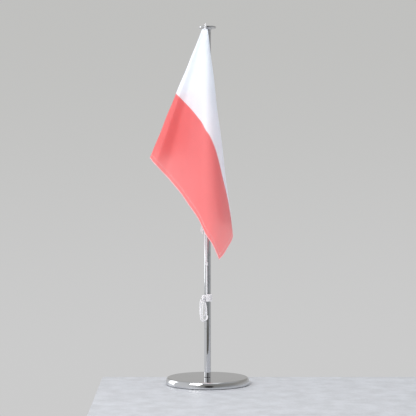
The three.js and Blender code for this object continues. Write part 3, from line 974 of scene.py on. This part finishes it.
turn_sharp, seen_sharp = turn_and_seen(sharp)
turn_soft, seen_soft = turn_and_seen(ways)
rising = slice(turn_sharp[: SAMPLES // 2].argmin(), turn_sharp.argmax())
shared = np.interp(turn_soft, turn_sharp[rising], swept[rising])
shorter = 1 - np.interp(turn_soft, turn_sharp[rising], seen_sharp[rising]) / seen_soft
shorter *= np.clip((CORNER - shared) / NEAR_CORNER, 0, 1)
shared = shared - shorter / np.tan(np.clip(shared, LEAST_ANGLE, CORNER))
last_line = rising.start + np.searchsorted(turn_sharp[rising], LAST_TURN)
started = np.clip((order - rising.start - START_AFTER) / START_OVER, 0, 1)
not_stopped = np.clip((last_line - order) / STOP_OVER, 0, 1)
swept = swept + (shared - swept) * started * not_stopped
assert (np.diff(swept) >= 0).all(), "the fold lines must stay in order"
print("front fold at %.1f degrees of the flat cloth" % math.degrees(swept[crest]))
print("the folds sweep %.2f degrees" % math.degrees(swept[-1]))


# %% A place on the hung cloth
def at(angle, reach):
    """Points of the hung cloth, from the angle from the hoist and the distance from the corner."""
    way = np.stack([np.interp(angle, swept, ways[:, k]) for k in range(3)], -1)
    start = np.stack([np.interp(angle, swept, starts[:, k]) for k in range(3)], -1)
    return start + way * reach[..., None]


lowest = at(np.array([CORNER]), np.array([math.hypot(FLAG_LENGTH, FLAG_HEIGHT)]))[0]
print("the lower corner hangs at", lowest.round(1), "mm")


# %% [markdown]
# The cloth's own small waves are added to that shape: puckers where the hem is sewn, and slack
# between the folds. The hem is the edge turned twice, so the shell is thicker there. The mesh
# follows the fold lines, since a square grid would cut across them, and its rows crowd towards
# the edges.

# %% The cloth's grid
ANGLES, ROWS = 300, 84
quarter = math.pi / 2
share = np.linspace(0, 1, ANGLES)
angles = quarter * (share - 0.045 * np.sin(2 * np.pi * share) / np.pi)
angles[np.abs(angles - CORNER).argmin()] = CORNER
rows = np.sin(np.linspace(0, 1, ROWS) * quarter) ** 1.15
full = np.where(
    angles <= CORNER,
    FLAG_HEIGHT / np.cos(np.minimum(angles, CORNER)),
    FLAG_LENGTH / np.sin(np.maximum(angles, CORNER)),
)
angle_grid = np.repeat(angles[:, None], ROWS, 1)
reach_grid = full[:, None] * rows[None, :]
sheet = at(angle_grid, reach_grid)
out = reach_grid * np.sin(angle_grid)
down = reach_grid * np.cos(angle_grid)


def normals_of(grid):
    across = np.gradient(grid, axis=0)
    outwards = grid[:, -1:] - grid[:, :1]
    found = np.cross(across, np.broadcast_to(outwards, grid.shape))
    return found / np.maximum(np.linalg.norm(found, axis=2)[..., None], 1e-12)


normals = normals_of(sheet)
print("grid", sheet.shape)

# %% Puckers, slack and hem
HEM, HEM_STEP = 6.0, 0.8
SINGLE, HEM_MORE = 0.26, 0.34
PUCKER, PUCKER_REACH = 0.22, 7
SLACK, SLACK_FROM = 0.35, 60
to_hem = np.minimum(np.minimum(FLAG_LENGTH - out, FLAG_HEIGHT - down), down)
to_free = np.minimum(FLAG_LENGTH - out, FLAG_HEIGHT - down)
edge = np.exp(-np.maximum(to_free, 0) / PUCKER_REACH)
loose = np.clip(reach_grid / SLACK_FROM, 0, 1)
pucker = PUCKER * edge * np.sin(out * 0.9 + 2 * np.sin(down * 0.11)) * np.cos(down * 0.8)
slack = SLACK * np.sin(0.055 * out + 0.09 * down) * np.sin(0.071 * down - 0.023 * out + 1.1)
sheet = sheet + normals * (loose * (pucker + slack))[..., None]
normals = normals_of(sheet)
hem = np.clip((HEM - to_hem) / HEM_STEP + 0.5, 0, 1)
thick = SINGLE + HEM_MORE * hem * hem * (3 - 2 * hem)
half_thick = thick[..., None] / 2
print("cloth %.2f to %.2f mm thick" % (thick.min(), thick.max()))


# %% The cloth's shell
def lay_flat(piece, places):
    """Gives a piece of two equal skins its places in the flat cloth, in metres, as a UV map."""
    flat_map = piece.data.uv_layers.new(name="flat")
    corners = np.empty(len(piece.data.loops), int)
    piece.data.loops.foreach_get("vertex_index", corners)
    places = np.concatenate([places.reshape(-1, 2)] * 2)
    flat_map.data.foreach_set("uv", places[corners].ravel())


two_sides = (sheet - normals * half_thick, sheet + normals * half_thick)
points = np.concatenate([side.reshape(-1, 3) for side in two_sides]) * MM
count = ANGLES * ROWS
index = np.arange(count).reshape(ANGLES, ROWS)
a, b, c, d = index[:-1, :-1], index[1:, :-1], index[1:, 1:], index[:-1, 1:]
near = np.stack([a, d, c, b], -1).reshape(-1, 4)
far = np.stack([a, b, c, d], -1).reshape(-1, 4) + count
faces = near.tolist() + far.tolist()
borders = ((index[:, 0], True), (index[:, -1], False), (index[0], False), (index[-1], True))
for border, flip in borders:
    for p, q in zip(border[:-1].tolist(), border[1:].tolist()):
        wall = [p, p + count, q + count, q]
        faces.append(wall if flip else wall[::-1])
flag = mesh_piece("flag_satin_cloth", points, faces, satin)
lay_flat(flag, np.stack([out, FLAG_HEIGHT - down], -1) * MM)
volume = weld(flag, 20 * SAME)
print("flag volume %.0f mm3, faces %d" % (volume, len(flag.data.polygons)))
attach(flag, "flag")
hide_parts("flag_cloth")

# %% [markdown]
# ### Hoist sleeve
# The hoist edge is folded round the halyard and sewn, which makes a narrow sleeve. It is gathered
# a little on the cord, so its surface ripples along its length. Its map carries on the flag's, so
# the white and the red meet at the same height.

# %% The sleeve
SLEEVE_STEPS, SLEEVE_SIDES = 240, 28
SLEEVE_RADIUS, SLEEVE_INSIDE = 1.5, 0.92
heights = np.linspace(HOIST_TOP, HOIST_TOP - FLAG_HEIGHT, SLEEVE_STEPS)
round_angles = np.linspace(0, 2 * np.pi, SLEEVE_SIDES, endpoint=False)
z, a = np.meshgrid(heights, round_angles, indexing="ij")
crumple = 0.1 * np.sin(z * 1.1 + 2 * np.sin(a)) + 0.07 * np.sin(z * 2.3 - 3 * a)
end_pull = np.minimum(1, np.minimum(HOIST_TOP - z, z - HOIST_TOP + FLAG_HEIGHT) / 2 + 0.75)
outer = (SLEEVE_RADIUS + crumple) * end_pull
skins = []
for radius in (outer, np.full_like(outer, SLEEVE_INSIDE)):
    skins.append(np.stack([HOIST[0] + radius * np.cos(a), HOIST[1] + radius * np.sin(a), z], -1))
points = np.concatenate([skin.reshape(-1, 3) for skin in skins]) * MM
ring_count = SLEEVE_STEPS * SLEEVE_SIDES
index = np.arange(ring_count).reshape(SLEEVE_STEPS, SLEEVE_SIDES)
beside = np.roll(index, -1, axis=1)
skin_faces = np.stack([index[:-1], index[1:], beside[1:], beside[:-1]], -1).reshape(-1, 4)
faces = skin_faces.tolist() + (skin_faces[:, ::-1] + ring_count).tolist()
for row, flip in ((0, False), (-1, True)):
    for p, q in zip(index[row].tolist(), beside[row].tolist()):
        wall = [p, q, q + ring_count, p + ring_count]
        faces.append(wall[::-1] if flip else wall)
sleeve = mesh_piece("hoist_sleeve", points, faces, satin)
lay_flat(sleeve, np.stack([4 + a * SLEEVE_RADIUS, z - HOIST_TOP + FLAG_HEIGHT], -1) * MM)
print("sleeve volume %.0f mm3" % weld(sleeve))
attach(sleeve, "flag")

# %% [markdown]
# ### Stitches
# The hems and the sleeve are sewn with a lockstitch, a row of short threads that sink into the
# cloth at both ends. Hundreds of equal shapes on a line are a job for Geometry Nodes: the seams'
# points carry the direction of sewing and the way out of the cloth, and one small stitch is
# placed on each.

# %% The stitch tree
sewing, given = shape_tree(
    "sewing",
    [
        ("Seams", "Geometry", None),
        ("Length", "Float", 1.7 * MM),
        ("Thickness", "Float", 0.26 * MM),
        ("Finish", "Material", None),
    ],
)
bead = add_node(sewing, "GeometryNodeMeshUVSphere", Segments=6, Rings=5, Radius=0.5)
size = add_node(
    sewing, "ShaderNodeCombineXYZ", X=given["Length"], Y=given["Thickness"], Z=given["Thickness"]
)
shape = add_node(
    sewing, "GeometryNodeTransform", Geometry=bead.outputs["Mesh"], Scale=size.outputs["Vector"]
)
dots = add_node(sewing, "GeometryNodeMeshToPoints", Mesh=given["Seams"])


def named_vector(name):
    kind = {"data_type": "FLOAT_VECTOR"}
    return add_node(sewing, "GeometryNodeInputNamedAttribute", kind, Name=name).outputs["Attribute"]


sewn = add_node(
    sewing, "FunctionNodeAlignRotationToVector", {"axis": "X"}, Vector=named_vector("sewn")
)
facing = add_node(
    sewing,
    "FunctionNodeAlignRotationToVector",
    {"axis": "Z", "pivot_axis": "X"},
    Rotation=sewn.outputs["Rotation"],
    Vector=named_vector("facing"),
)
placed = add_node(
    sewing,
    "GeometryNodeInstanceOnPoints",
    Points=dots.outputs["Points"],
    Instance=shape.outputs["Geometry"],
    Rotation=facing.outputs["Rotation"],
)
end_tree(sewing, placed.outputs["Instances"], given["Finish"])

# %% [markdown]
# The seams run 4.5 mm inside the bottom, fly and top edges and 4 mm from the halyard along the
# sleeve. Near the top corner the folds are gathered close together, so the top seam and the
# sleeve's seam start below that. A place in the flat cloth is found again on the hung cloth
# through its angle and distance from the corner, the same way the cloth itself was hung.

# %% The seams
STITCH_PITCH = 2.2
INSET, SLEEVE_SEAM = 4.5, 4
TOP_SEAM_END, SLEEVE_SEAM_START = 40, 24
PROUD = 0.02


def seam(start, stop):
    steps = int(np.hypot(*(np.subtract(stop, start))) / STITCH_PITCH)
    return np.linspace(start, stop, steps)


def found_on(grid, across_at, out_at):
    """A grid's value at each place, between the four corners of the cell that it falls in."""
    i, k = across_at.astype(int), out_at.astype(int)
    across, outwards = (across_at - i)[:, None], (out_at - k)[:, None]
    low = grid[i, k] * (1 - outwards) + grid[i, k + 1] * outwards
    high = grid[i + 1, k] * (1 - outwards) + grid[i + 1, k + 1] * outwards
    return low * (1 - across) + high * across


LAST_OUT, LAST_DOWN = FLAG_LENGTH - INSET, FLAG_HEIGHT - INSET
lines = [
    seam((INSET, LAST_DOWN), (LAST_OUT, LAST_DOWN)),
    seam((LAST_OUT, LAST_DOWN), (LAST_OUT, INSET)),
    seam((LAST_OUT, INSET), (TOP_SEAM_END, INSET)),
    seam((SLEEVE_SEAM, SLEEVE_SEAM_START), (SLEEVE_SEAM, FLAG_HEIGHT - HEM)),
]
seam_points, seam_ways, seam_facing = [], [], []
for line in lines:
    angle = np.arctan2(line[:, 0], line[:, 1])
    ratio = np.hypot(line[:, 0], line[:, 1]) / np.interp(angle, angles, full)
    across_at = np.clip(np.interp(angle, angles, np.arange(ANGLES)), 0, ANGLES - 1.001)
    out_at = np.clip(np.interp(ratio, rows, np.arange(ROWS)), 0, ROWS - 1.001)
    place, outward_way, half = (
        found_on(grid, across_at, out_at) for grid in (sheet, normals, half_thick)
    )
    for side in (-1, 1):
        seam_points.append(place + side * outward_way * (half + PROUD))
        seam_ways.append(np.gradient(place, axis=0))
        seam_facing.append(side * outward_way)
print("places to sew", len(np.concatenate(seam_points)))

# %% The stitches
dots_mesh = bpy.data.meshes.new("seam_points")
dots_mesh.from_pydata((np.concatenate(seam_points) * MM).tolist(), [], [])
for label, values in (("sewn", seam_ways), ("facing", seam_facing)):
    attribute = dots_mesh.attributes.new(label, "FLOAT_VECTOR", "POINT")
    attribute.data.foreach_set("vector", np.concatenate(values).astype(np.float32).ravel())
seams = bpy.data.objects.new("seam_points", dots_mesh)
scene.collection.objects.link(seams)
modifier = seams.modifiers.new("sewing", "NODES")
modifier.node_group = sewing
modifier[identifiers(sewing)["Finish"]] = thread_pale
stitches = plain_mesh(seams, "hem_stitches")
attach(stitches, "flag")
print("stitches", len(dots_mesh.vertices), "faces", len(stitches.data.polygons))

# %% [markdown]
# ## Table, wall and light
# The stand is on a pale stone table that ends just behind it, in front of a pale wall. The stone
# is a soft mottle with a fine grain in it, from two noises.

# %% The table
TABLE_BACK, TABLE_FRONT, TABLE_RIGHT, TABLE_THICK = 0.0594, -0.3, 0.9, 0.02
table_points = [
    (-0.118, TABLE_FRONT, 0),
    (TABLE_RIGHT, TABLE_FRONT, 0),
    (TABLE_RIGHT, TABLE_BACK, 0),
    (-0.129, TABLE_BACK, 0),
]
table_points += [(x, y, -TABLE_THICK) for x, y, _ in table_points]
table_faces = [(0, 1, 2, 3), (7, 6, 5, 4), (0, 4, 5, 1), (1, 5, 6, 2), (2, 6, 7, 3), (3, 7, 4, 0)]
table_top, tree, shader = new_material("pale_table", Roughness=0.45)
place = tree.nodes.new("ShaderNodeTexCoord").outputs["Object"]
cloudy = add_node(tree, "ShaderNodeTexNoise", Vector=place, Scale=45.0, Detail=4.0, Roughness=0.65)
grain = add_node(tree, "ShaderNodeTexNoise", Vector=place, Scale=420.0, Detail=2.0)
mottle = maths(tree, "MULTIPLY_ADD", grain.outputs["Fac"], 0.35, cloudy.outputs["Fac"])
mottle = between(tree, mottle, 0.42, 0.95)
stone = tint(tree, mottle, (0.41, 0.425, 0.45, 1), (0.51, 0.53, 0.57, 1))
tree.links.new(stone, shader.inputs["Base Color"])
table = mesh_piece("table", table_points, table_faces, table_top, crisp=30)
print("table", len(table.data.polygons), "faces")

# %% [markdown]
# ### The room
# Chrome shows whatever is round it, so the world is a simple room, for reflected light only: dim
# towards the front and paler towards the wall, with a warm band of wood, pale daylight on the
# left, and a shadow in front that is deepest low down. One small dark doorway in front, a little
# to the right and a little above the level of the eye, draws the pole's dark line and the dark
# spot on the base. Other rays meet an even pale surround, and the camera sees the wall.

# %% What the chrome shows
DARK_WAY, DARK_RISE = math.radians(4), math.radians(9)
DOORWAY_EDGE, DOORWAY_HEART = math.radians(15), math.radians(8)
WOOD_SHARE = 0.55
DIM, PALE = (0.37, 0.385, 0.40, 1), (0.54, 0.54, 0.54, 1)
WOOD, SHADOW = (0.27, 0.25, 0.21, 1), (0.12, 0.115, 0.10, 1)
DAYLIGHT, DOORWAY = (0.74, 0.75, 0.76, 1), (0.04, 0.038, 0.036, 1)
world = bpy.data.worlds.new("room")
scene.world = world
world.use_nodes = True
tree = world.node_tree
tree.nodes.clear()
way = add_node(
    tree, "ShaderNodeSeparateXYZ", Vector=tree.nodes.new("ShaderNodeTexCoord").outputs["Generated"]
)
to_right, to_back, upward = (way.outputs[axis] for axis in "XYZ")
facing = maths(tree, "MULTIPLY", to_right, math.sin(DARK_WAY))
facing = maths(tree, "MULTIPLY_ADD", to_back, -math.cos(DARK_WAY), facing)
room = tint(tree, between(tree, facing, 0.6, -0.3), DIM, PALE)
band = maths(
    tree, "SUBTRACT", between(tree, upward, 0.02, 0.3), between(tree, upward, 0.5, 0.8)
)
room = tint(tree, maths(tree, "MULTIPLY", band, WOOD_SHARE), room, WOOD)
low = between(tree, upward, -0.105, -0.075, 1.0, 0.3)
in_front = between(tree, facing, 0.6, 0.99)
room = tint(tree, maths(tree, "MULTIPLY", in_front, low), room, SHADOW)
room = tint(tree, between(tree, to_right, -0.1, -0.9), room, DAYLIGHT)
toward = maths(tree, "MULTIPLY", upward, math.sin(DARK_RISE))
toward = maths(tree, "MULTIPLY_ADD", facing, math.cos(DARK_RISE), toward)
spot = between(tree, toward, math.cos(DOORWAY_EDGE), math.cos(DOORWAY_HEART))
room = tint(tree, spot, room, DOORWAY)
print("room made of", len(tree.nodes), "nodes")

# %% What lights the stand, and the wall
SURROUND = (1.02, 1.02, 1.03, 1)
# The wall that the camera sees is painted paler low down and darker higher up: painted shading of
# the light on it.
WALL_LOW, WALL_HIGH = (0.60, 0.60, 0.60, 1), (0.53, 0.53, 0.52, 1)
wall = tint(tree, between(tree, upward, -0.14, 0.17), WALL_LOW, WALL_HIGH)
rays = tree.nodes.new("ShaderNodeLightPath").outputs
room = tint(tree, rays["Is Glossy Ray"], SURROUND, room)
surround = add_node(tree, "ShaderNodeBackground", Color=room, Strength=1.0)
backdrop = add_node(tree, "ShaderNodeBackground", Color=wall, Strength=1.0)
shown = add_node(
    tree,
    "ShaderNodeMixShader",
    i0=rays["Is Camera Ray"],
    i1=surround.outputs["Background"],
    i2=backdrop.outputs["Background"],
)
sky = tree.nodes.new("ShaderNodeOutputWorld")
tree.links.new(shown.outputs["Shader"], sky.inputs["Surface"])
print("world", world.name, "with", len(tree.nodes), "nodes")

# %% [markdown]
# ### The lamps
# Two windows on the left light the stand: the near one gives the cloth its even light and the rim
# its bright edges, and the far one, behind the cloth, shines through it. A wide ceiling light
# lifts the shadows. Each is a soft rectangle turned towards the stand.


# %% The lamps
def soft_box(name, place, aim, size, watts, colour=(1, 1, 1)):
    """A soft rectangular light at a place, turned to an aim."""
    light = bpy.data.lights.new(name, "AREA")
    light.shape = "RECTANGLE"
    light.size, light.size_y = size
    light.energy = watts
    light.color = colour
    lamp = bpy.data.objects.new(name, light)
    lamp.location = place
    ray = np.subtract(aim, place)
    tilt = math.atan2(math.hypot(ray[0], ray[1]), -ray[2])
    heading = math.atan2(ray[1], ray[0]) - math.pi / 2
    lamp.rotation_euler = (tilt, 0, heading)
    scene.collection.objects.link(lamp)


soft_box("near window", (-0.85, -1.1, 1.2), (0, 0, 0.2), (0.9, 0.8), 17, (1.0, 0.99, 0.98))
soft_box("far window", (-1.4, 0.75, 0.55), (0, 0, 0.2), (0.9, 1.1), 5, (0.98, 0.99, 1.0))
soft_box("ceiling", (0.0, -0.3, 1.9), (0, 0, 0), (1.6, 1.6), 5)

# %% The end
bpy.context.view_layer.update()
